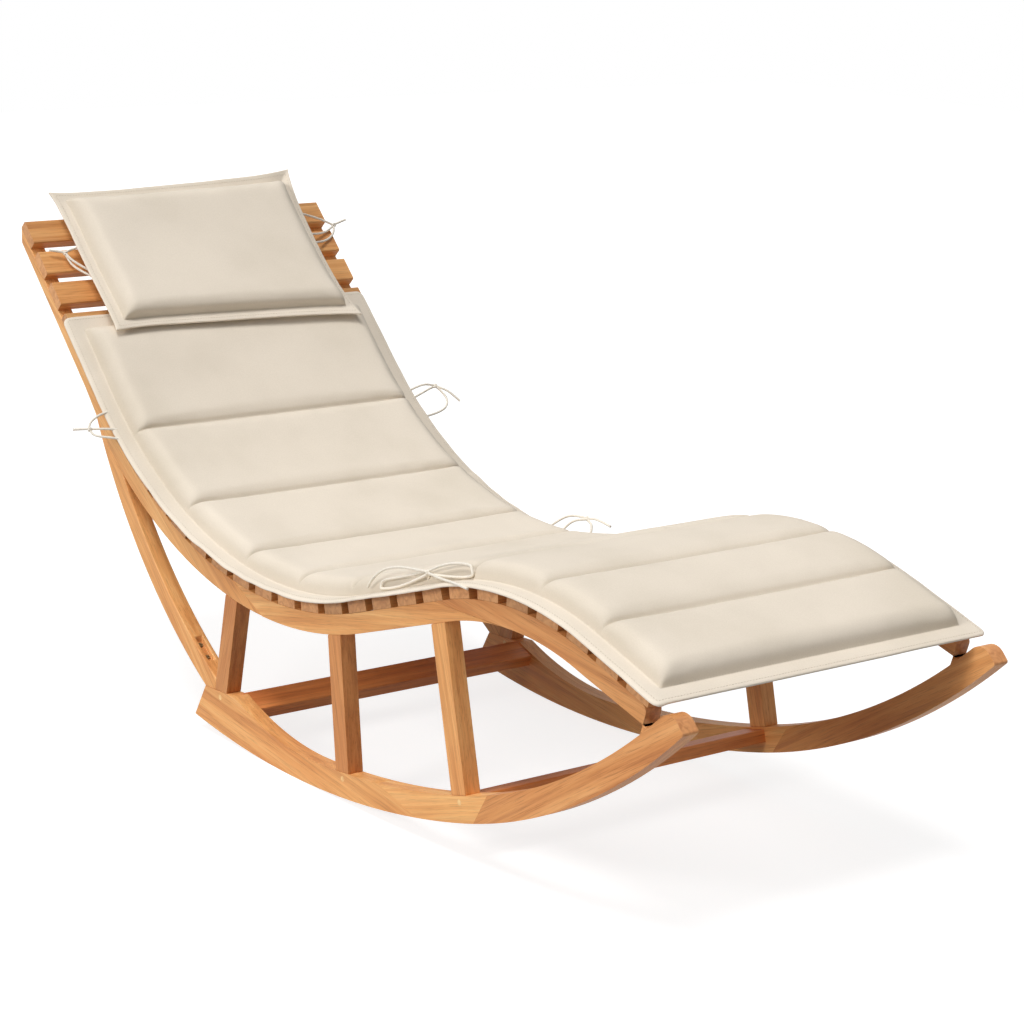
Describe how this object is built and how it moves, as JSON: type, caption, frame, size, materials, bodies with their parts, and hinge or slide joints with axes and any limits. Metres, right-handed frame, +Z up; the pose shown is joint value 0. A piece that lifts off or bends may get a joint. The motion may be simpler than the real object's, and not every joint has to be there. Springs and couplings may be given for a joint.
{
  "type": "rocking chaise lounge",
  "caption": "Slatted wooden rocking chaise lounge on curved runners, with a channelled long cushion, a head pillow and cord ties.",
  "frame": {"origin": "middle of the footprint's length and width, on the floor under the runners", "axes": "+X towards the foot, +Z up, the lounge is mirrored about the XZ plane; someone lying on it has the left hand at +Y"},
  "size_m": [1.7805, 0.7526, 0.7985],
  "materials": {
    "teak": "oiled, fine-grained",
    "canvas": "matt woven",
    "tie_cord": "matt braided"
  },
  "bodies": {
    "root": {"slat_01": "teak", "slat_02": "teak", "slat_03": "teak", "slat_04": "teak", "slat_05": "teak", "slat_06": "teak", "slat_07": "teak", "slat_08": "teak", "slat_09": "teak", "slat_10": "teak", "slat_11": "teak", "slat_12": "teak", "slat_13": "teak", "slat_14": "teak", "slat_15": "teak", "slat_16": "teak", "slat_17": "teak", "slat_18": "teak", "slat_19": "teak", "slat_20": "teak", "slat_21": "teak", "slat_22": "teak", "slat_23": "teak", "slat_24": "teak", "slat_25": "teak", "slat_26": "teak", "slat_27": "teak", "slat_28": "teak", "slat_29": "teak", "rail_back_right": "teak", "rail_back_left": "teak", "rail_seat_right": "teak", "rail_seat_left": "teak", "rail_leg_right": "teak", "rail_leg_left": "teak", "back_stay_right": "teak", "back_stay_left": "teak", "runner_heel_right": "teak", "runner_heel_left": "teak", "runner_middle_right": "teak", "runner_middle_left": "teak", "runner_tip_right": "teak", "runner_tip_left": "teak", "rear_post_right": "teak", "rear_post_left": "teak", "middle_post_right": "teak", "middle_post_left": "teak", "front_post_right": "teak", "front_post_left": "teak", "rear_stretcher": "teak", "front_stretcher": "teak", "joint_pegs": "teak", "seat_cushion": "canvas", "head_pillow": "canvas", "back_tie_right": "tie_cord", "back_tie_left": "tie_cord", "seat_tie_right": "tie_cord", "seat_tie_left": "tie_cord", "pillow_tie_right": "tie_cord", "pillow_tie_left": "tie_cord"}
  },
  "joints": []
}
